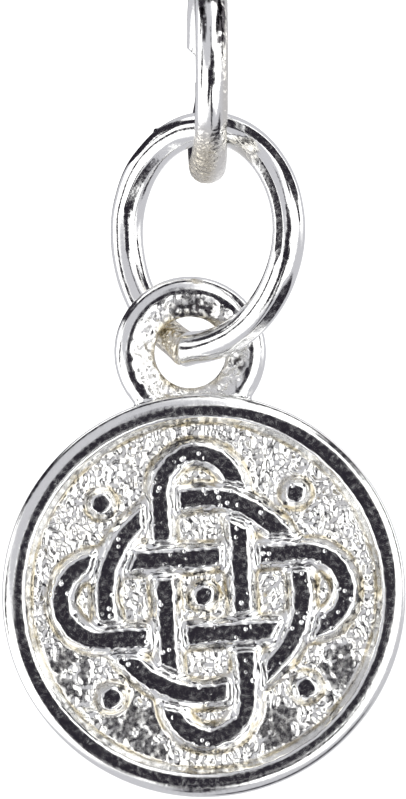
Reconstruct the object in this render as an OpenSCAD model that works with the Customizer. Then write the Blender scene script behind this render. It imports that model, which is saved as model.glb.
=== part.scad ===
// Cast silver charm with a hanging eye, its jump ring and the ring that it hangs from.
// Millimetres, +Z up, the charm's face towards -Y. The origin is the point where a chain or
// hook carries the hanger ring: the top of the ring's opening.

/* [Medallion] */
// Diameter of the round charm
disc_d = 10; // [9:0.5:12]
// Thickness of the charm at its rim
disc_t = 1.4; // [1.2:0.1:1.8]
// Height of the rim's crest above the grained field
rim_h = 0.3; // [0.26:0.02:0.4]
// Width of the rim's flat crest
crest_w = 0.27; // [0.2:0.01:0.35]
// Radius of the rim's outer shoulder
shoulder_r = 0.27; // [0.2:0.01:0.35]
// Width of the slope from the crest down to the field
rim_slope_w = 0.2; // [0.12:0.01:0.25]

/* [Eye] */
// Outer diameter of the eye
eye_d = 3.78; // [3.6:0.02:4]
// Diameter of the eye's hole
eye_hole_d = 1.76; // [1.7:0.02:1.84]
// Thickness of the eye at its crest
eye_t = 0.72; // [0.6:0.02:0.76]
// Thickness of the eye at the edge of its hole
eye_edge_t = 0.2; // [0.16:0.02:0.3]
// Width of metal left between the eye's hole and the edge of the charm
eye_web = 0.16; // [0.1:0.01:0.3]

/* [Relief] */
// Height of the raised strands above the field
relief_h = 0.24; // [0.18:0.01:0.26]
// Width of a strand's flat top
strand_w = 0.44; // [0.36:0.02:0.5]
// Width of the slope on each side of a strand
strand_slope_w = 0.2; // [0.12:0.01:0.22]
// Distance between the two long sides of a crossed loop
loop_w = 1.9; // [1.8:0.05:2.1]
// Radius of the round strand that the loops weave through
hoop_r = 2.45; // [2.3:0.05:2.6]

/* [Rings] */
// Diameter of the round wire of both rings
wire_d = 0.81; // [0.7:0.01:0.85]
// Radius of the jump ring's upper arc, to the middle of the wire
jump_r = 2.55; // [2.45:0.01:2.65]
// Distance from the centre of that arc down to the seam, to the middle of the wire
jump_tip = 2.97; // [2.85:0.01:3.1]
// Angle about the vertical by which the jump ring's right side stands forward
jump_yaw = 38; // [30:1:50]
// Angle in the ring's own plane from straight down to the seam
jump_lean = 13; // [0:0.5:15]
// Inner diameter of the hanger ring
hanger_id = 4; // [3.6:0.1:4.4]
// Width of the gap where the hanger ring's wire doesn't quite close
hanger_gap = 0.68; // [0.2:0.02:0.7]
// Angle about the vertical by which the hanger ring's far side stands to the left
hanger_yaw = 2.7; // [0:0.1:6]

/* [Hang] */
// Angle by which the charm hangs out of plumb
charm_lean = 3.2; // [0:0.1:4]
// Distance from the middle of the jump ring's wire down to the eye's centre
eye_drop = 0.12; // [0:0.01:0.15]
// Distance of the eye's centre to the right of the seam
eye_right = 0.1; // [0:0.01:0.15]
// Distance of the eye's centre in front of the seam
eye_front = 0.13; // [0.08:0.01:0.18]
// Gap between the two rings where one hangs on the other
hang_gap = 0.03; // [0.02:0.01:0.05]

/* [Hidden] */
$fn = 96;

SILVER = [0.93, 0.92, 0.89];
BRIGHT_SILVER = [0.86, 0.86, 0.87];

disc_r = disc_d / 2;
back_round_r = 0.15;
back_z = -disc_t / 2;
crest_z = disc_t / 2;
field_z = crest_z - rim_h;
crest_r = disc_r - shoulder_r;
field_r = crest_r - crest_w - rim_slope_w;
eye_y = disc_r + eye_web + eye_hole_d / 2;

// The relief: two crossed loops woven through a hoop, with a boss in each open place.
strand_sink = 0.2;
strand_base_w = strand_w + 2 * strand_slope_w;
loop_rim_gap = 0.3;
loop_end_y = field_r - loop_rim_gap - strand_base_w / 2 - loop_w / 2;
hoop_cross_y = sqrt(pow(hoop_r, 2) - pow(loop_w / 2, 2));
boss_d = 0.5;
boss_y = (hoop_r + field_r) / 2 + 0.06;

// A notch beside the upper strand at each crossing shows which strand passes under.
notch_depth = 0.6 * relief_h;
notch_w = 0.07;
notch_over = 0.05;

// The jump ring's lower arcs are tangent to the upper one and meet at the seam.
jump_turn = 80;
jump_gap = 0.04;
jump_low_offset = (pow(jump_tip, 2) - pow(jump_r, 2)) / (2 * (jump_r - jump_tip * cos(jump_turn)));
jump_low_r = jump_r + jump_low_offset;
jump_low_angle = jump_turn - asin(jump_low_offset * sin(jump_turn) / jump_low_r)
    - asin(jump_gap / 2 / jump_low_r);

// Bending has drawn the lower wire a hair thinner; it starts inside the upper wire.
jump_low_d = wire_d - 0.012;
jump_lap = 1.5;

hanger_r = (hanger_id + wire_d) / 2;
hanger_gap_top = 3;
hanger_gap_angle = hanger_gap / hanger_r * 180 / PI;

// Heights of the pieces as they hang, one inside the next.
hanger_z = -hanger_id / 2;
jump_z = hanger_z - hanger_r + wire_d + hang_gap - jump_r;
tip_x = -jump_tip * sin(jump_lean) * cos(jump_yaw);
tip_y = jump_tip * sin(jump_lean) * sin(jump_yaw);
tip_z = jump_z - jump_tip * cos(jump_lean);
eye_x = tip_x + eye_right;
eye_depth = tip_y - eye_front;
eye_z = tip_z - eye_drop;

// Half section of the charm's body, from its axis out to the rim.
module disc_section() {
    polygon([
        [0, back_z],
        [disc_r - back_round_r, back_z],
        [disc_r - back_round_r, back_z + back_round_r],
        [disc_r, back_z + back_round_r],
        [disc_r, crest_z - shoulder_r],
        [crest_r, crest_z - shoulder_r],
        [crest_r, crest_z],
        [crest_r - crest_w, crest_z],
        [field_r, field_z],
        [0, field_z]
    ]);
    translate([crest_r, crest_z - shoulder_r]) circle(r = shoulder_r);
    translate([disc_r - back_round_r, back_z + back_round_r]) circle(r = back_round_r);
}

// Section of a raised strand, with its foot sunk into the field.
module strand_section() {
    polygon([
        [-strand_base_w / 2, -strand_sink],
        [strand_base_w / 2, -strand_sink],
        [strand_base_w / 2, 0],
        [strand_w / 2, relief_h],
        [-strand_w / 2, relief_h],
        [-strand_base_w / 2, 0]
    ]);
}

// Section of the notch beside an upper strand, on the side away from its middle.
module notch_section() {
    foot = strand_w / 2 + strand_slope_w * notch_depth / relief_h;
    polygon([
        [strand_w / 2, relief_h + notch_over],
        [strand_w / 2, relief_h],
        [foot, relief_h - notch_depth],
        [foot + notch_w, relief_h - notch_depth],
        [foot + 2 * notch_w, relief_h + notch_over]
    ]);
}

// A section drawn out along X.
module along_x(length) {
    rotate([90, 0, 90]) linear_extrude(height = length, center = true) children();
}

// One long loop: two straight strands and two round ends.
module loop_strand() {
    for (side = [-1, 1]) {
        translate([side * loop_w / 2, 0, 0]) rotate([0, 0, 90])
            along_x(2 * loop_end_y) strand_section();
        translate([0, side * loop_end_y, 0]) rotate([0, 0, 90 * side - 90])
            rotate_extrude(angle = 180) translate([loop_w / 2, 0]) strand_section();
    }
}

module hoop_strand() {
    rotate_extrude() translate([hoop_r, 0]) strand_section();
}

// Notches on both sides of a straight upper strand that runs along Y.
module straight_notches(x, y) {
    translate([x, y, 0])
        for (turn = [90, 270])
            rotate([0, 0, turn]) along_x(strand_base_w * 1.3) notch_section();
}

// Notches inside and outside the hoop, about the place at angle a.
module hoop_notches(a) {
    span = 24;
    rotate([0, 0, a - span / 2]) {
        rotate_extrude(angle = span) translate([hoop_r, 0]) notch_section();
        rotate_extrude(angle = span) translate([hoop_r, 0]) mirror([1, 0]) notch_section();
    }
}

module boss() {
    translate([0, 0, -strand_sink])
        cylinder(h = strand_sink, d = boss_d + 2 * strand_slope_w);
    cylinder(h = relief_h, d1 = boss_d + 2 * strand_slope_w, d2 = boss_d);
}

// The weave has the same order in each quarter, so one quarter's notches are turned round.
module weave_notches() {
    for (quarter = [0:3]) rotate([0, 0, 90 * quarter]) {
        straight_notches(loop_w / 2, loop_w / 2);
        straight_notches(-loop_w / 2, hoop_cross_y);
        hoop_notches(atan2(hoop_cross_y, loop_w / 2));
    }
}

module relief() {
    difference() {
        union() {
            loop_strand();
            rotate([0, 0, 90]) loop_strand();
            hoop_strand();
        }
        weave_notches();
    }
    boss();
    for (corner = [0:3]) rotate([0, 0, 45 + 90 * corner]) translate([boss_y, 0, 0]) boss();
}

// Section of the eye: round outside, with a slope on each face down to the thin edge of the hole.
module eye_section() {
    big = eye_t / 2;
    small = eye_edge_t / 2;
    outer_x = eye_d / 2 - big;
    inner_x = eye_hole_d / 2 + small;
    slope = asin((big - small) / (outer_x - inner_x));
    translate([outer_x, 0]) circle(r = big);
    translate([inner_x, 0]) circle(r = small);
    polygon([
        [inner_x - small * sin(slope), small * cos(slope)],
        [outer_x - big * sin(slope), big * cos(slope)],
        [outer_x, 0],
        [outer_x - big * sin(slope), -big * cos(slope)],
        [inner_x - small * sin(slope), -small * cos(slope)]
    ]);
}

// The casting: body, rim, relief and eye in one, face up and eye towards +Y.
module charm_casting() {
    rotate_extrude() disc_section();
    translate([0, 0, field_z]) relief();
    translate([0, eye_y, 0]) rotate_extrude() eye_section();
}

module medallion() {
    color(SILVER)
        translate([eye_x, eye_depth, eye_z]) rotate([0, -charm_lean, 0])
            rotate([90, 0, 0]) translate([0, -eye_y, 0]) charm_casting();
}

// The jump ring flat on XY, with its seam at the bottom.
module jump_ring_flat() {
    arc_start = jump_turn - 90;
    rotate([0, 0, arc_start]) rotate_extrude(angle = 360 - 2 * jump_turn)
        translate([jump_r, 0]) circle(d = wire_d);
    rotate([0, 0, arc_start]) translate([-jump_low_offset, 0, 0])
        rotate([0, 0, -jump_low_angle]) rotate_extrude(angle = jump_low_angle + jump_lap)
            translate([jump_low_r, 0]) circle(d = jump_low_d);
    rotate([0, 0, 180 - arc_start]) translate([-jump_low_offset, 0, 0])
        rotate([0, 0, -jump_lap]) rotate_extrude(angle = jump_low_angle + jump_lap)
            translate([jump_low_r, 0]) circle(d = jump_low_d);
}

module jump_ring() {
    color(BRIGHT_SILVER)
        translate([0, 0, jump_z]) rotate([90, 0, -jump_yaw])
            rotate([0, 0, -jump_lean]) jump_ring_flat();
}

// The hanger ring stands nearly edge-on, with its gap at the back.
module hanger_ring() {
    color(BRIGHT_SILVER)
        translate([0, 0, hanger_z]) rotate([90, 0, 90 + hanger_yaw])
            rotate([0, 0, hanger_gap_top]) rotate_extrude(angle = 360 - hanger_gap_angle)
                translate([hanger_r, 0]) circle(d = wire_d);
}

medallion();
jump_ring();
hanger_ring();
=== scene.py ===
# Silver charm pendant: hanger ring, jump ring and cast charm, hanging one from the next.
import math

import bpy
from mathutils import Matrix, Vector, noise


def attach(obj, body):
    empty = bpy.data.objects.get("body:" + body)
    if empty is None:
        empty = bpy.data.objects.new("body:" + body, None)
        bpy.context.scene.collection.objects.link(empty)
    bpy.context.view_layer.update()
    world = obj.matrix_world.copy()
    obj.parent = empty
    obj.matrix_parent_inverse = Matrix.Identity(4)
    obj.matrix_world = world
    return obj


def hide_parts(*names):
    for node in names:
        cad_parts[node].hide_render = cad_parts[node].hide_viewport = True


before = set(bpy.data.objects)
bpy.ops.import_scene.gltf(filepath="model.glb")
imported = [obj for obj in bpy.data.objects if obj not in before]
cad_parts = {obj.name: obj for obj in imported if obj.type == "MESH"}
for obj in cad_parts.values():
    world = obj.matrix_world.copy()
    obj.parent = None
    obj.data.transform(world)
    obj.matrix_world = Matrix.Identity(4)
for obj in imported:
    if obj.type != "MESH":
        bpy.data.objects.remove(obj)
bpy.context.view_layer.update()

# Hanger ring
# The ring that a chain or hook goes through: drawn sterling silver wire, 0.81 mm thick, wound round
# a mandrel, pinched off with cutters and pushed nearly shut. It is polished, and rough where it was
# handled with the pliers, at the bottom.
MM = 0.001
wire_d, wire_sides = 0.81, 80
hanger_r, hanger_steps = 2.405, 235
hanger_centre, hanger_yaw = Vector((0, 0, -2.0)), 2.7
# The ends of the wire before it is cut, in degrees round the ring. Then each cut: degrees round the
# ring, the way to the stub that comes off (1 is anticlockwise), degrees out of square.
uncut_low, uncut_high = -8.6, -6.0
hanger_cuts = ((3.0, -1, -42), (-13.2, 1, 25))
stub_reach = 1.1
# Painted dark reflections, in strips on the front of the hanger ring: height above the ring's
# middle, place to the right, half height, half width
painted_reflection_strips = ((1.66, 0.0, 0.2, 0.14), (0.96, 0.21, 0.58, 0.11), (0.95, -0.21, 0.42, 0.05))


def only(piece):
    """Selects one piece and makes it the active one."""
    bpy.ops.object.select_all(action="DESELECT")
    piece.select_set(True)
    bpy.context.view_layer.objects.active = piece


def open_piece(piece):
    """Opens a piece for editing by faces, with all of it selected."""
    only(piece)
    bpy.ops.object.mode_set(mode="EDIT")
    bpy.ops.mesh.select_mode(type="FACE")
    bpy.ops.mesh.select_all(action="SELECT")


def pick_faces(piece, wanted):
    """Opens a piece for editing, with only the faces selected that wanted(face) is true for."""
    open_piece(piece)
    bpy.ops.mesh.select_all(action="DESELECT")
    bpy.ops.object.mode_set(mode="OBJECT")
    for face in piece.data.polygons:
        face.select = bool(wanted(face))
    bpy.ops.object.mode_set(mode="EDIT")


def ring_point(radius, degrees):
    """A point on a ring's plane: its distance from the middle, and degrees anticlockwise from the right."""
    a = math.radians(degrees)
    return Vector((radius * math.cos(a), radius * math.sin(a), 0))


def wire_section(name, angle, radius):
    """The cut end of a wire, standing on the ring's plane at an angle in degrees, in millimetres."""
    bpy.ops.object.select_all(action="DESELECT")
    bpy.ops.mesh.primitive_circle_add(
        vertices=wire_sides, radius=wire_d / 2, fill_type="NGON",
        location=ring_point(radius, angle), rotation=(math.pi / 2, 0, math.radians(angle)))
    piece = bpy.context.object
    piece.name = piece.data.name = name
    bpy.ops.object.transform_apply(location=True, rotation=True, scale=True)
    return piece


def bend_wire(degrees, centre, steps):
    """Draws the selected end of the wire round a centre on the ring's plane, anticlockwise if positive."""
    bpy.ops.mesh.spin(steps=steps, angle=-math.radians(degrees), center=centre, axis=(0, 0, 1))


def is_end(face):
    """True for a wire's two ends, the only faces with a corner at each of its sides."""
    return len(face.vertices) > wire_sides / 2


def ease_ends(piece, by):
    """Rounds the edges of a wire's two ends."""
    pick_faces(piece, is_end)
    bpy.ops.mesh.bevel(offset=by, segments=2)
    bpy.ops.object.mode_set(mode="OBJECT")


def apply_modifier(piece, kind, **settings):
    """Adds a modifier with its settings and applies it."""
    only(piece)
    modifier = piece.modifiers.new(kind.lower(), kind)
    for key, value in settings.items():
        setattr(modifier, key, value)
    bpy.ops.object.modifier_apply(modifier=modifier.name)


def mark(piece, name, amount):
    """Stores amount(co) on a piece's points, for its material to read."""
    values = piece.data.attributes.new(name, "FLOAT", "POINT")
    values.data.foreach_set("value", [amount(v.co) for v in piece.data.vertices])


def set_in_place(piece, turns, move, sharp):
    """Turns a piece about axes in order, moves it, makes it metres, and smooths all but its sharp edges."""
    for degrees, axis in turns:
        piece.data.transform(Matrix.Rotation(math.radians(degrees), 4, axis))
    piece.data.transform(Matrix.Translation(move))
    piece.data.transform(Matrix.Scale(MM, 4))
    piece.data.update()
    only(piece)
    bpy.ops.object.shade_smooth_by_angle(angle=math.radians(sharp))


def smooth_ramp(low, high, value):
    """0 below low, 1 above high, with a soft change between."""
    t = min(max((value - low) / (high - low), 0), 1)
    return t * t * (3 - 2 * t)


def cut_hanger(angle, way, slant):
    """Cuts the stub off one end of the hanger ring's wire, as a row of hanger_cuts gives it."""
    point, t = ring_point(hanger_r, angle), math.radians(slant)
    along = way * ring_point(1, angle + 90)
    past = way * ring_point(1, (uncut_low + uncut_high) / 2 + 90)
    pick_faces(hanger_ring, lambda f: (f.center - point).length < stub_reach and f.center.dot(past) < 0)
    bpy.ops.mesh.bisect(plane_co=point, plane_no=math.cos(t) * along + math.sin(t) * Vector((0, 0, 1)),
                        use_fill=True, clear_outer=True)
    bpy.ops.object.mode_set(mode="OBJECT")


hanger_ring = wire_section("hanger_wire", uncut_high, hanger_r)
open_piece(hanger_ring)
bend_wire(360 + uncut_low - uncut_high, (0, 0, 0), hanger_steps)
bpy.ops.object.mode_set(mode="OBJECT")
for cut in hanger_cuts:
    cut_hanger(*cut)
ease_ends(hanger_ring, 0.03)


def handled_and_shaded(co):
    """Where the pliers left the hanger ring rough, which also gets a painted tan shade: outside its bottom,
    and a little on its right side.
    """
    outside = math.hypot(co.x, co.y) - hanger_r
    bottom = smooth_ramp(1.3, 2.35, -co.y) * smooth_ramp(-0.2, 0.05, outside)
    side = smooth_ramp(0.16, 0.32, co.z) * smooth_ramp(0.6, 1.2, -co.x) * smooth_ramp(-2.0, -1.2, -co.y)
    return max(bottom * (1 - 0.6 * smooth_ramp(-0.05, 0.25, co.z)), 0.45 * side)


def painted_dark_reflection(co):
    """Where the front of the hanger ring gets painted dark reflections, in strips."""
    if co.x >= 0:
        return 0.0
    aside = co.z + 0.05 * noise.noise(co * 3.5)
    return max(smooth_ramp(-1.15, -0.9, -abs(co.y - up) / tall)
               * smooth_ramp(-1.25, -0.75, -abs(aside - right) / wide)
               for up, right, tall, wide in painted_reflection_strips)


# The lower end is bent aside, and the pliers left the outside of the bottom rough and a little spread.
for v in hanger_ring.data.vertices:
    co = v.co.copy()
    around = Vector((co.x, co.y, 0)).normalized()
    outside = math.hypot(co.x, co.y) - hanger_r
    if co.x > 0 and co.y < 0:
        v.co.z += 0.21 * smooth_ramp(-1.9, -0.6, co.y)
    v.co += 0.009 * (noise.noise(co * 1.3) + smooth_ramp(1.2, 2.0, -co.y)) * around
    v.co.z += 0.011 * noise.noise(co * 1.3 + Vector((7, 0, 0)))
    v.co.y -= 0.13 * smooth_ramp(1.9, 2.5, -co.y) * smooth_ramp(-0.25, 0.3, outside)
    v.co.z *= 1 + 0.12 * smooth_ramp(1.6, 2.5, -co.y)
    lump = 0.06 * abs(noise.noise(co * 3.0)) + 0.025 * noise.noise(co * 5.5)
    v.co -= lump * handled_and_shaded(co) * Vector((co.x, co.y, 2 * co.z)).normalized()
hanger_ring.data.update()
mark(hanger_ring, "rough_and_shaded", handled_and_shaded)
mark(hanger_ring, "painted_dark", painted_dark_reflection)
set_in_place(hanger_ring, ((90, "X"), (90 + hanger_yaw, "Z")), hanger_centre, sharp=50)


def linear(hex_colour):
    """An sRGB hex colour as linear red, green, blue and alpha."""
    parts = [int(hex_colour[i:i + 2], 16) / 255 for i in (1, 3, 5)]
    return tuple(c / 12.92 if c <= 0.04045 else ((c + 0.055) / 1.055) ** 2.4 for c in parts) + (1.0,)


def node(tree, kind, links=None, **settings):
    """Adds a node, sets its properties and sockets, and links sockets to other nodes' outputs."""
    new = tree.nodes.new(kind)
    sockets = settings.pop("sockets", {})
    for key, value in settings.items():
        setattr(new, key, value)
    for key, value in sockets.items():
        new.inputs[key].default_value = value
    for key, output in (links or {}).items():
        tree.links.new(output, new.inputs[key])
    return new


def new_metal(name):
    """A material with its output, its metal shader and its place on the object in millimetres."""
    material = bpy.data.materials.new(name)
    material.use_nodes = True
    tree = material.node_tree
    tree.nodes.clear()
    metal = node(tree, "ShaderNodeBsdfPrincipled", sockets={"Metallic": 1.0})
    node(tree, "ShaderNodeOutputMaterial", {"Surface": metal.outputs["BSDF"]})
    place = node(tree, "ShaderNodeTexCoord")
    in_mm = node(tree, "ShaderNodeVectorMath", {0: place.outputs["Object"]}, operation="SCALE",
                 sockets={"Scale": 1 / MM})
    return material, tree, metal, in_mm.outputs["Vector"]


# Each pattern's spots per millimetre of silver. The wire's unevenness (0.45 mm), the grain (0.14 mm)
# and the speckles of the painted dark (0.15 mm) have their real sizes. Real pits are about 0.03 mm
# apart, which is too fine to show in the render, so they are drawn 0.11 mm apart.
wavers_per_mm, grains_per_mm, painted_dark_per_mm, pits_per_mm = 2.2, 7.0, 6.5, 9.0


def add_painted_dark(tree, mm, tone, dense):
    """Darkens a tone in speckles where a piece is marked for painted shade or painted dark reflection, more
    of them where dense is lower.
    """
    spots = node(tree, "ShaderNodeAttribute", attribute_name="painted_dark").outputs["Fac"]
    speckle = node(tree, "ShaderNodeTexNoise", {"Vector": mm},
                   sockets={"Scale": painted_dark_per_mm, "Detail": 1.0})
    speckled = node(tree, "ShaderNodeMapRange", {"Value": speckle.outputs["Fac"]},
                    sockets={"From Min": dense, "From Max": dense + 0.15})
    dark_amount = node(tree, "ShaderNodeMath", {0: spots, 1: speckled.outputs["Result"]}, operation="MULTIPLY")
    # The speckled dark is painted: shade on the charm's eye, dark reflections on the hanger ring's front.
    return node(tree, "ShaderNodeMix", {"Factor": dark_amount.outputs["Value"], "A": tone.outputs["Result"]},
                data_type="RGBA", sockets={"B": linear("#4c494c")})


# Drawn and polished sterling silver wire. Drawing and bending leave it a little uneven along its
# length, so that its reflections run in wavering lines; tumbling leaves fine pits. Where it was
# handled it is grained and duller, with a slight tan tint that is painted shade. On the hanger ring's
# front, painted dark reflections lie in speckled strips.
wire_silver, tree, metal, mm = new_metal("polished_silver_wire")
rough_and_shade = node(tree, "ShaderNodeAttribute", attribute_name="rough_and_shaded").outputs["Fac"]
waver = node(tree, "ShaderNodeTexNoise", {"Vector": mm}, sockets={"Scale": wavers_per_mm, "Detail": 0.0})
pits = node(tree, "ShaderNodeTexNoise", {"Vector": mm}, sockets={"Scale": pits_per_mm, "Detail": 1.0})
pitted = node(tree, "ShaderNodeMapRange", {"Value": pits.outputs["Fac"]},
              sockets={"From Min": 0.4, "From Max": 0.75})
grain = node(tree, "ShaderNodeTexNoise", {"Vector": mm}, sockets={"Scale": grains_per_mm, "Detail": 1.0})
soft_bump = node(tree, "ShaderNodeBump", {"Height": waver.outputs["Fac"]},
                 sockets={"Strength": 1.0, "Distance": 0.008 * MM})
pit_bump = node(tree, "ShaderNodeBump",
                {"Height": pitted.outputs["Result"], "Normal": soft_bump.outputs["Normal"]},
                sockets={"Strength": 1.0, "Distance": 0.001 * MM})
grain_bump = node(tree, "ShaderNodeBump",
                  {"Height": grain.outputs["Fac"], "Strength": rough_and_shade, "Normal": pit_bump.outputs["Normal"]},
                  sockets={"Distance": 0.08 * MM})
gloss = node(tree, "ShaderNodeMapRange", {"Value": rough_and_shade}, sockets={"To Min": 0.1, "To Max": 0.2})
matt = node(tree, "ShaderNodeMath", {0: pitted.outputs["Result"], 2: gloss.outputs["Result"]},
            operation="MULTIPLY_ADD", sockets={1: 0.12})
# Painted shade: the rough places are tinted tan.
tone = node(tree, "ShaderNodeMix", {"Factor": rough_and_shade}, data_type="RGBA",
            sockets={"A": linear("#fafaf9"), "B": linear("#dcd5c6")})
tone = add_painted_dark(tree, mm, tone, dense=0.3)
tree.links.new(tone.outputs["Result"], metal.inputs["Base Color"])
tree.links.new(matt.outputs["Value"], metal.inputs["Roughness"])
tree.links.new(grain_bump.outputs["Normal"], metal.inputs["Normal"])


def finish_piece(piece, material, body, cad_node):
    """Gives a piece its material and body, and hides the solid of model.glb that it stands for."""
    piece.data.materials.clear()
    piece.data.materials.append(material)
    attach(piece, body)
    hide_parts(cad_node)


finish_piece(hanger_ring, wire_silver, "hanger", "hanger_ring")

# Jump ring
# The ring that joins the eye to the hanger ring, of the same wire. Its lower part was squeezed to a
# blunt V, and its two sawn ends butt together inside the eye. The pliers left a small flat with a
# burr at the upper left.
jump_r, jump_tip = 2.55, 2.97
jump_turn, jump_yaw, jump_lean = 80.0, 38.0, 13.0
jump_centre = Vector((0, 0, -6.115))
half_seam = 0.02
jump_steps, low_steps = 130, 52
# The V's sides are arcs of a larger circle. They start jump_turn degrees from the tip and end in it.
turn = math.radians(jump_turn)
low_offset = (jump_tip ** 2 - jump_r ** 2) / (2 * (jump_r - jump_tip * math.cos(turn)))
low_r = jump_r + low_offset
low_angle = jump_turn - math.degrees(math.asin(low_offset * math.sin(turn) / low_r)
                                     + math.asin(half_seam / low_r))
start_angle = jump_turn - 90
start_point = ring_point(jump_r, start_angle)
# Shallow flats that the pliers pressed: from and to, in degrees round the ring from its right; how far
# out from the front of the wire each end lies, in degrees; depth
jump_flats = ((8, 84, 45, 24, 0.017), (-78, -20, 54, 34, 0.026),
              (-22, 56, -38, -38, 0.02), (100, 190, -34, 10, 0.016))
flat_fade = 12

jump_ring = wire_section("jump_wire", start_angle, jump_r)
open_piece(jump_ring)
bend_wire(360 - 2 * jump_turn, (0, 0, 0), jump_steps)
bend_wire(low_angle, ring_point(-low_offset, 180 - start_angle), low_steps)
bpy.ops.object.mode_set(mode="OBJECT")
pick_faces(jump_ring, lambda f: is_end(f) and (f.center - start_point).length < 0.1)
bend_wire(-low_angle, ring_point(-low_offset, start_angle), low_steps)
bpy.ops.object.mode_set(mode="OBJECT")
ease_ends(jump_ring, 0.035)

# The deeper flat at the upper left, and the burr at its end.
flat_at = 131 + jump_lean
burr_at = flat_at - 10
flat_normal = (ring_point(0.72, flat_at) + Vector((0, 0, 0.7))).normalized()
flat_middle = ring_point(jump_r, flat_at) + flat_normal * (wire_d / 2 - 0.055)
open_piece(jump_ring)
bpy.ops.mesh.bisect(plane_co=flat_middle, plane_no=flat_normal, use_fill=True, clear_outer=True)
bpy.ops.object.mode_set(mode="OBJECT")
burr = (ring_point(1, burr_at) + Vector((0, 0, 0.06))) * (jump_r + wire_d / 2)
tip = Vector((0, -jump_tip, 0))
camera_way = Vector((math.sin(math.radians(jump_yaw)), 0, math.cos(math.radians(jump_yaw))))
camera_way.rotate(Matrix.Rotation(math.radians(jump_lean), 4, "Z"))


def flatten(co, low, high, low_side, high_side, depth):
    """How far one of the shallow flats moves a point, as a row of jump_flats gives it."""
    angle = math.degrees(math.atan2(co.y, co.x))
    place = angle - jump_lean
    amount = smooth_ramp(low, low + flat_fade, place) * smooth_ramp(-high, flat_fade - high, -place)
    if amount == 0:
        return Vector((0, 0, 0))
    middle, radius = Vector((0, 0, 0)), jump_r
    if -90 < angle < start_angle:
        middle, radius = ring_point(-low_offset, start_angle), low_r
    out = (Vector((co.x, co.y, 0)) - middle).normalized()
    along = Vector((-out.y, out.x, 0))
    front = (camera_way - camera_way.dot(along) * along).normalized()
    s = math.radians(low_side + (high_side - low_side) * (place - low) / (high - low))
    facing = math.cos(s) * front + math.sin(s) * along.cross(front)
    reach = (co - middle - radius * out).dot(facing)
    return -amount * max(0, reach - (wire_d / 2 - depth)) * facing


def rough_and_shaded_seam(co):
    """Where the wire is rough and gets a painted tan shade: left of the seam."""
    return 0.9 * smooth_ramp(-1.3, -0.9, -(co - tip).length) * smooth_ramp(-0.12, 0.08, -co.x)


# The wire gets its shallow flats and wavers a little. It has the burr, and a small knob at the seam.
for v in jump_ring.data.vertices:
    v.co += sum((flatten(v.co, *flat) for flat in jump_flats), Vector((0, 0, 0)))
    co = v.co.copy()
    around = Vector((co.x, co.y, 0)).normalized()
    v.co += 0.01 * (noise.noise(co * 1.2 + Vector((0, 5, 0))) + smooth_ramp(0.2, 1.4, co.y)) * around
    v.co.z += 0.01 * noise.noise(co * 1.2 + Vector((5, 0, 0)))
    v.co += 0.14 * max(0, 1 - (co - burr).length / 0.13) ** 2 * around
    v.co.y -= 0.12 * max(0, 1 - abs(co.x) / 0.5) ** 1.5 * smooth_ramp(0.0, 0.3, -co.y - jump_tip)
jump_ring.data.update()
mark(jump_ring, "rough_and_shaded", rough_and_shaded_seam)
set_in_place(jump_ring, ((-jump_lean, "Z"), (90, "X"), (-jump_yaw, "Z")), jump_centre, sharp=40)
finish_piece(jump_ring, wire_silver, "ring", "jump_ring")

# Charm
# One casting in sterling silver: a round body with a half-round rim, a woven knot that stands on a
# grained field, and the eye. The field keeps the grain of the mould; the rim, the tops of the
# strands and the outside of the eye were polished.
charm_y = 0.2813
disc_r, disc_t = 5.0, 1.4
disc_front = charm_y - disc_t / 2
charm_lean = math.radians(3.2)
eye_reach = 6.04
eye_centre = Vector((-0.4265, charm_y, -9.1289))
disc_centre = eye_centre + eye_reach * Vector((math.sin(charm_lean), 0, -math.cos(charm_lean)))
# Roundings of the casting, at the rim's front and at the back
cast_round, back_round = 0.27, 0.15
# The polished rim: its crest and how domed it is; then, going outwards, where it bends down, where it
# turns over the edge, how steep it is there, and the edge's own rounding
crest_r, crest_dome = 4.6, 0.45
bend_r, edge_start, edge_slope, edge_round = 4.7, 4.94, 0.85, 0.17
rim_inside, polish_start, polish_full = 4.4, 4.44, 4.5
# How far the voxels may leave a point off a rounding, off the rim's front and off its side
off_round, off_front, off_side = 0.05, 0.03, 0.04
# Spots of painted shade on the eye, from its centre, and smooth ones on the field, from the disc's:
# right, up, size
painted_shade_spots = ((0.1, 1.12, 0.42), (0.42, 1.0, 0.3), (-0.25, 1.02, 0.3), (1.2, -0.3, 0.26))
calm_spots = ((-1.7, -3.4, 1.3), (1.9, -3.2, 0.9), (-3.5, -1.9, 0.9), (3.3, -2.0, 1.0))
most_triangles = 194000

only(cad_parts["medallion"])
bpy.ops.object.duplicate()
charm = bpy.context.object
charm.name = charm.data.name = "cast_charm"
charm.data.transform(Matrix.Scale(1 / MM, 4))
open_piece(charm)
bpy.ops.mesh.remove_doubles(threshold=0.0005)
bpy.ops.object.mode_set(mode="OBJECT")
apply_modifier(charm, "REMESH", mode="VOXEL", voxel_size=0.043)
apply_modifier(charm, "SMOOTH", factor=0.5, iterations=5)


def from_disc(co):
    """Distance from the disc's axis, and depth behind the rim's crest."""
    return math.hypot(co.x - disc_centre.x, co.z - disc_centre.z), co.y - disc_front


def from_eye(co):
    """Distance from the axis of the eye's hole."""
    return math.hypot(co.x - eye_centre.x, co.z - eye_centre.z)


def crest_growth(co):
    """How much wider the crest is where the wheel took more: at the upper right, and a little opposite."""
    way = math.degrees(math.atan2(co.z - disc_centre.z, co.x - disc_centre.x))
    return 0.1 * smooth_ramp(-60, -12, -abs(way - 36)) + 0.03 * smooth_ramp(-50, -15, -abs(way + 125))


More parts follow.
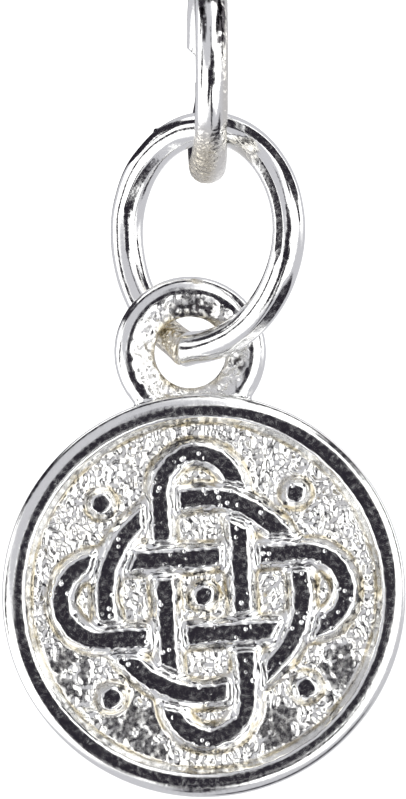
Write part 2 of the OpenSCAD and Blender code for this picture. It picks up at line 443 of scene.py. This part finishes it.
def rim_depth(r, growth):
    """How deep the rim's polished front lies behind its crest."""
    bend = (edge_slope / 2 - crest_dome * (edge_start - crest_r - growth)) / (edge_start - bend_r - growth)
    crest = min(0, r - crest_r) + max(0, r - crest_r - growth)
    return crest_dome * crest ** 2 + bend * max(0, r - bend_r - growth) ** 2


# The relief's flanks are smooth, from the edge of a strand's top down to the field.
flanks = charm.vertex_groups.new(name="flanks")
flanks.add([v.index for v in charm.data.vertices
            if 0.09 < v.co.y - disc_front < 0.285 and from_disc(v.co)[0] < rim_inside], 1.0, "REPLACE")
apply_modifier(charm, "SMOOTH", factor=0.5, iterations=30, vertex_group="flanks")

# The casting's rounding, from flat_r outwards, becomes a bend and an edge with these lengths. The
# bend is 1.13 times as long as it is wide, because it slopes.
flat_r = disc_r - cast_round
edge_angle = math.atan(edge_slope)
bend_length = (edge_start - flat_r) * 1.13
edge_length = edge_round * (math.pi / 2 - edge_angle)


def worn_rim(r, depth, growth):
    """Where a point of the cast rim lies once the rim is polished: a low crest and a flat shoulder."""
    off = abs(math.hypot(r - flat_r, depth - cast_round) - cast_round)
    if r > flat_r and off < off_round and depth < cast_round:
        along = math.atan2(r - flat_r, cast_round - depth) / (math.pi / 2) * (bend_length + edge_length)
        if along < bend_length:
            r = flat_r + (edge_start - flat_r) * along / bend_length
            return r, rim_depth(r, growth)
        a = edge_angle + (along - bend_length) / edge_round
        return (disc_r - edge_round * (1 - math.sin(a)),
                rim_depth(edge_start, growth) + edge_round * (math.cos(edge_angle) - math.cos(a)))
    if polish_start < r <= flat_r and depth < off_front:
        return r, depth + smooth_ramp(polish_start, polish_full, r) * (rim_depth(r, growth) - depth)
    if r > disc_r - back_round and depth > disc_t - back_round:
        reach = math.hypot(r - disc_r + back_round, depth - disc_t + back_round)
        if abs(reach - back_round) < off_round:
            return (disc_r - back_round + (r - disc_r + back_round) * back_round / reach,
                    disc_t - back_round + (depth - disc_t + back_round) * back_round / reach)
    if abs(r - disc_r) < off_side and cast_round <= depth <= disc_t - back_round:
        return disc_r, depth
    return r, depth


# The back is a little uneven. It is nearly flat, so it needs few of the faces.
behind = charm.vertex_groups.new(name="behind")
behind.add([v.index for v in charm.data.vertices if v.co.y - disc_front > 0.8], 1.0, "REPLACE")
for v in charm.data.vertices:
    if v.co.y - disc_front > 1.3:
        v.co.y += 0.026 * (noise.noise(v.co * 0.55) - 0.5) + 0.004 * noise.noise(v.co * 2.5)
charm.data.update()
triangles = sum(len(p.vertices) - 2 for p in charm.data.polygons)
apply_modifier(charm, "DECIMATE", vertex_group="behind", ratio=min(1.0, most_triangles / triangles))
for v in charm.data.vertices:
    r, depth = from_disc(v.co)
    if r > rim_inside:
        new_r, new_depth = worn_rim(r, depth, crest_growth(v.co))
        v.co.x += (new_r / r - 1) * (v.co.x - disc_centre.x)
        v.co.z += (new_r / r - 1) * (v.co.z - disc_centre.z)
        v.co.y = disc_front + new_depth


def field_weight(co):
    """1 on the grained field, 0 on the strands and the rim."""
    r, depth = from_disc(co)
    return smooth_ramp(0.22, 0.3, depth) * smooth_ramp(-0.5, -0.42, -depth) * smooth_ramp(-4.34, -4.24, -r)


def eye_weight(co):
    """1 on the grained inner part of the eye, 0 on its polished outside and on the disc."""
    return smooth_ramp(-1.5, -1.34, -from_eye(co)) * smooth_ramp(4.98, 5.05, from_disc(co)[0])


def calm(co):
    """1 on the field's smoother spots, which mirror the dark of the room."""
    spot = max(1 - math.hypot(co.x - disc_centre.x - x, co.z - disc_centre.z - z) / size
               for x, z, size in calm_spots)
    return (smooth_ramp(0.1, 0.4, spot + 0.3 * noise.noise(co * 2.0))
            * smooth_ramp(-0.32, -0.12, noise.noise(co * 4.2)))


def rough_and_shaded(co):
    """1 where the casting was never polished; there it also gets a faint painted tan shade."""
    return max(field_weight(co), eye_weight(co))


def grained(co):
    """How strong the mould's grain is."""
    return max(field_weight(co) * (1 - 0.84 * calm(co)), 0.55 * eye_weight(co))


def painted_recess_shade(co):
    """1 in the corners at the foot of the relief and rim, and in the hole, which get a painted tan shade."""
    r, depth = from_disc(co)
    corner_shade = smooth_ramp(0.17, 0.25, depth) * smooth_ramp(-0.299, -0.288, -depth)
    return max(corner_shade * smooth_ramp(-4.6, -4.4, -r), smooth_ramp(-1.1, -0.9, -from_eye(co)))


def pitted_top(co):
    """1 on the stretches of the strands' tops that have small holes."""
    r, depth = from_disc(co)
    return (smooth_ramp(-4.35, -4.25, -r) * smooth_ramp(-0.09, -0.07, -depth)
            * smooth_ramp(-0.05, 0.2, noise.noise(co * 1.5)))


def painted_dark(co):
    """1 in the spots of painted shade on the eye."""
    return max(smooth_ramp(-size, -0.4 * size, -math.hypot(co.x - eye_centre.x - x, co.z - eye_centre.z - z))
               for x, z, size in painted_shade_spots)


def sideways(co, per_mm, place):
    """A smooth random push in the plane of the charm's face."""
    return Vector((noise.noise(co * per_mm + Vector((place, 0, 0))), 0,
                   noise.noise(co * per_mm + Vector((0, 0, place)))))


mark(charm, "rough_and_shaded", rough_and_shaded)
mark(charm, "grained", grained)
mark(charm, "painted_recess_shade", painted_recess_shade)
mark(charm, "pitted", pitted_top)
mark(charm, "painted_dark", painted_dark)
# The front's outlines waver and are a little frayed, and the field and the eye have a coarse grain.
for v in charm.data.vertices:
    co = v.co.copy()
    r, depth = from_disc(co)
    front = smooth_ramp(-0.62, -0.5, -depth) * smooth_ramp(-4.9, -4.7, -r)
    worn = smooth_ramp(-4.35, -4.2, -r)
    top = smooth_ramp(-0.2, -0.1, -depth)
    v.co += front * ((0.014 + 0.014 * worn) * sideways(co, 2.2, 9)
                     + (0.008 + 0.032 * worn) * top * sideways(co, 5.5, 4))
    v.co.y -= 0.065 * (1 - 0.7 * calm(co)) * field_weight(co) * noise.noise(co * 4.6)
    v.co.y -= 0.05 * eye_weight(co) * noise.noise(co * 4.0)
charm.data.transform(Matrix.Scale(MM, 4))
charm.data.update()
only(charm)
bpy.ops.object.shade_smooth()

# Cast sterling silver, polished on its high places, where fine pits leave it mottled. The field and
# the eye keep the fine grain of the mould. The corners and the hole get a painted tan shade, and the
# field and the eye a faint one, both in stains. The holes in the strands' tops (0.2 mm apart) and the
# stains (0.55 mm) have their real sizes.
holes_per_mm, stains_per_mm = 5.0, 1.8
cast_silver, tree, metal, mm = new_metal("cast_silver")
rough_and_shade = node(tree, "ShaderNodeAttribute", attribute_name="rough_and_shaded").outputs["Fac"]
mould_grain = node(tree, "ShaderNodeAttribute", attribute_name="grained").outputs["Fac"]
corner_shade = node(tree, "ShaderNodeAttribute", attribute_name="painted_recess_shade").outputs["Fac"]
holed_top = node(tree, "ShaderNodeAttribute", attribute_name="pitted").outputs["Fac"]
grain = node(tree, "ShaderNodeTexNoise", {"Vector": mm}, sockets={"Scale": grains_per_mm, "Detail": 0.0})
grain_bump = node(tree, "ShaderNodeBump", {"Height": grain.outputs["Fac"], "Strength": mould_grain},
                  sockets={"Distance": 0.1 * MM})
pits = node(tree, "ShaderNodeTexNoise", {"Vector": mm}, sockets={"Scale": pits_per_mm, "Detail": 1.0})
pitted = node(tree, "ShaderNodeMapRange", {"Value": pits.outputs["Fac"]},
              sockets={"From Min": 0.35, "From Max": 0.75})
pit_bump = node(tree, "ShaderNodeBump",
                {"Height": pitted.outputs["Result"], "Normal": grain_bump.outputs["Normal"]},
                sockets={"Strength": 1.0, "Distance": 0.0007 * MM})
holes = node(tree, "ShaderNodeTexVoronoi", {"Vector": mm}, sockets={"Scale": holes_per_mm})
holed = node(tree, "ShaderNodeMapRange", {"Value": holes.outputs["Distance"]},
             sockets={"From Min": 0.05, "From Max": 0.3})
hole_bump = node(tree, "ShaderNodeBump",
                 {"Height": holed.outputs["Result"], "Strength": holed_top,
                  "Normal": pit_bump.outputs["Normal"]},
                 sockets={"Distance": 0.025 * MM})
gloss = node(tree, "ShaderNodeMapRange", {"Value": rough_and_shade}, sockets={"To Min": 0.1, "To Max": 0.18})
matt = node(tree, "ShaderNodeMath", {0: pitted.outputs["Result"], 2: gloss.outputs["Result"]},
            operation="MULTIPLY_ADD", sockets={1: 0.17})
stain = node(tree, "ShaderNodeTexNoise", {"Vector": mm}, sockets={"Scale": stains_per_mm, "Detail": 2.0})
stained = node(tree, "ShaderNodeMapRange", {"Value": stain.outputs["Fac"]},
               sockets={"From Min": 0.4, "From Max": 0.6, "To Min": 0.35, "To Max": 1.0})
# Painted tan shade: full in the corners and the hole, faint on the field and the eye, in stains.
where = node(tree, "ShaderNodeMath", {0: rough_and_shade, 2: corner_shade}, operation="MULTIPLY_ADD", sockets={1: 0.15})
stained_and_shaded = node(tree, "ShaderNodeMath", {0: stained.outputs["Result"], 1: where.outputs["Value"]},
                operation="MULTIPLY")
tone = node(tree, "ShaderNodeMix", {"Factor": stained_and_shaded.outputs["Value"]}, data_type="RGBA",
            sockets={"A": linear("#fafaf9"), "B": linear("#d0c7b1")})
tone = add_painted_dark(tree, mm, tone, dense=0.4)
tree.links.new(tone.outputs["Result"], metal.inputs["Base Color"])
tree.links.new(matt.outputs["Value"], metal.inputs["Roughness"])
tree.links.new(hole_bump.outputs["Normal"], metal.inputs["Normal"])
finish_piece(charm, cast_silver, "charm", "medallion")

# Studio
# A pale floor below the hanging charm, and a white tent round it with grey walls. It is dark where
# the camera looks in, and at the slits between its panels.
white, light_grey, grey = (1.7, 1.7, 1.7, 1), (0.9, 0.9, 0.92, 1), (0.6, 0.6, 0.635, 1)
dark, plain = (0.022, 0.019, 0.027, 1), (1.3, 1.3, 1.3, 1)
# What lies on the tent's white, each row over the ones before it: colour, one end and the other end
# (a round patch has one), half width, soft edge. Ends are degrees from the camera, and degrees
# anticlockwise from the right.
panels = (
    (grey, (180, 0), None, 58, 14),
    (light_grey, (166, -60), None, 1, 23),
    (grey, (100, -120), (100, -25), 22, 8),
    (grey, (84, -14), (76, -75), 14, 6),
    (grey, (50, 132), None, 32, 12),
    (grey, (80, -88), None, 30, 12),
    (dark, (95, 146), (170, 146), 8, 3),
    (dark, (82, 10), (90, 45), 8, 3),
    (dark, (50, 46), (74, 46), 7, 4),
    (dark, (90, 45), (87, 122), 10, 3),
    (dark, (86, 122), (88, 142), 9, 3),
    (dark, (88, 142), (92, 160), 4, 2),
    (dark, (86, -42), (91, -80), 8, 3),
    (dark, (20, -86), (20, -48), 5, 2),
    (dark, (74, 177), (84, -172), 5, 3),
    (dark, (50, -90), (68, -94), 3, 2),
    (dark, (18, -135), (42, -124), 7, 3),
    (dark, (22, -152), None, 8, 3),
    (dark, (14, -92), (50, -89), 5, 3),
    (dark, (2, 90), (38, 104), 2, 2),
    (dark, (5, 140), None, 11, 3),
    (dark, (8, 25), None, 8, 3),
    (dark, (8, 215), None, 8, 3),
)

bpy.ops.object.select_all(action="DESELECT")
bpy.ops.mesh.primitive_plane_add(size=6, location=(0, 0, -0.032))
floor = bpy.context.object
floor.name = "pale_floor"
floor.visible_glossy = False
paper = bpy.data.materials.new("white_paper")
paper.use_nodes = True
paper.node_tree.nodes["Principled BSDF"].inputs["Base Color"].default_value = linear("#fafafa")
paper.node_tree.nodes["Principled BSDF"].inputs["Roughness"].default_value = 0.9
floor.data.materials.append(paper)

world = bpy.data.worlds.new("light_tent")
bpy.context.scene.world = world
world.use_nodes = True
tree = world.node_tree
tree.nodes.clear()
# The tent's cloth sags, so that its edges waver.
sag = 0.14
straight = node(tree, "ShaderNodeTexCoord").outputs["Generated"]
wobble = node(tree, "ShaderNodeTexNoise", {"Vector": straight}, sockets={"Scale": 2.4, "Detail": 0.0})
wobbled = node(tree, "ShaderNodeVectorMath", {0: wobble.outputs["Color"], 2: straight},
               operation="MULTIPLY_ADD", sockets={1: (sag, sag, sag)})
centred = node(tree, "ShaderNodeVectorMath", {0: wobbled.outputs["Vector"]}, operation="SUBTRACT",
               sockets={1: (sag / 2, sag / 2, sag / 2)})
way = node(tree, "ShaderNodeVectorMath", {0: centred.outputs["Vector"]}, operation="NORMALIZE")


def seen_at(angle, clock):
    """The direction that is angle degrees from the camera, clock degrees anticlockwise from the right."""
    a, c = math.radians(angle), math.radians(clock)
    return Vector((math.sin(a) * math.cos(c), -math.cos(a), math.sin(a) * math.sin(c)))


def patch(middle, inner, outer):
    """A round patch of the tent: full inside inner degrees from its middle, nothing outside outer."""
    near = node(tree, "ShaderNodeVectorMath", {0: way.outputs["Vector"]}, operation="DOT_PRODUCT",
                sockets={1: middle})
    full = node(tree, "ShaderNodeMapRange", {"Value": near.outputs["Value"]},
                interpolation_type="SMOOTHSTEP",
                sockets={"From Min": math.cos(math.radians(outer)),
                         "From Max": math.cos(math.radians(inner))})
    return full.outputs["Result"]


def slit(start, end, width, soft):
    """A long patch of the tent from one direction to another, width degrees to each side."""
    side = node(tree, "ShaderNodeVectorMath", {0: way.outputs["Vector"]}, operation="DOT_PRODUCT",
                sockets={1: start.cross(end).normalized()})
    aside = node(tree, "ShaderNodeMath", {0: side.outputs["Value"]}, operation="ABSOLUTE")
    across = node(tree, "ShaderNodeMapRange", {"Value": aside.outputs["Value"]},
                  interpolation_type="SMOOTHSTEP",
                  sockets={"From Min": math.sin(math.radians(width)),
                           "From Max": math.sin(math.radians(width + soft)), "To Min": 1.0, "To Max": 0.0})
    half = math.degrees(start.angle(end)) / 2
    along = patch((start + end).normalized(), half + width / 2, half + width + soft)
    both = node(tree, "ShaderNodeMath", {0: across.outputs["Result"], 1: along}, operation="MULTIPLY")
    return both.outputs["Value"]


below = {}
for colour, start, end, width, soft in panels:
    if end:
        amount = slit(seen_at(*start), seen_at(*end), width, soft)
    else:
        amount = patch(seen_at(*start), width, width + soft)
    mix = node(tree, "ShaderNodeMix", {"Factor": amount, **below}, data_type="RGBA",
               sockets={"A": white, "B": colour})
    below = {"A": mix.outputs["Result"]}
# Only reflections show the tent. The camera and the floor see plain white.
sight = node(tree, "ShaderNodeLightPath")
for ray in ("Is Diffuse Ray", "Is Camera Ray"):
    mix = node(tree, "ShaderNodeMix", {"Factor": sight.outputs[ray], **below}, data_type="RGBA",
               sockets={"B": plain})
    below = {"A": mix.outputs["Result"]}
glow = node(tree, "ShaderNodeBackground", {"Color": mix.outputs["Result"]})
node(tree, "ShaderNodeOutputWorld", {"Surface": glow.outputs["Background"]})

# The camera looks straight at the charm's face from 300 mm, framed as in the photograph: a picture of
# 406 by 799 pixels, with the disc 403.6 pixels wide and its middle at 203.8, 595.7.
photo_w, photo_h = 406, 799
disc_px, disc_px_right, disc_px_down = 403.6, 203.8, 595.7
pixel = 2 * disc_r / disc_px
distance, sensor_h = 300.0, 24.0
camera_data = bpy.data.cameras.new("camera")
camera = bpy.data.objects.new("camera", camera_data)
bpy.context.scene.collection.objects.link(camera)
camera_data.sensor_fit = "VERTICAL"
camera_data.sensor_height = sensor_h
camera_data.lens = sensor_h * distance / (photo_h * pixel)
camera_data.clip_start = 0.01
camera_data.clip_end = 20
camera.location = MM * Vector((disc_centre.x - (disc_px_right - photo_w / 2) * pixel, disc_front - distance,
                               disc_centre.z + (disc_px_down - photo_h / 2) * pixel))
camera.rotation_euler = (math.pi / 2, 0, 0)
bpy.context.scene.camera = camera
bpy.context.scene.view_settings.view_transform = "Standard"
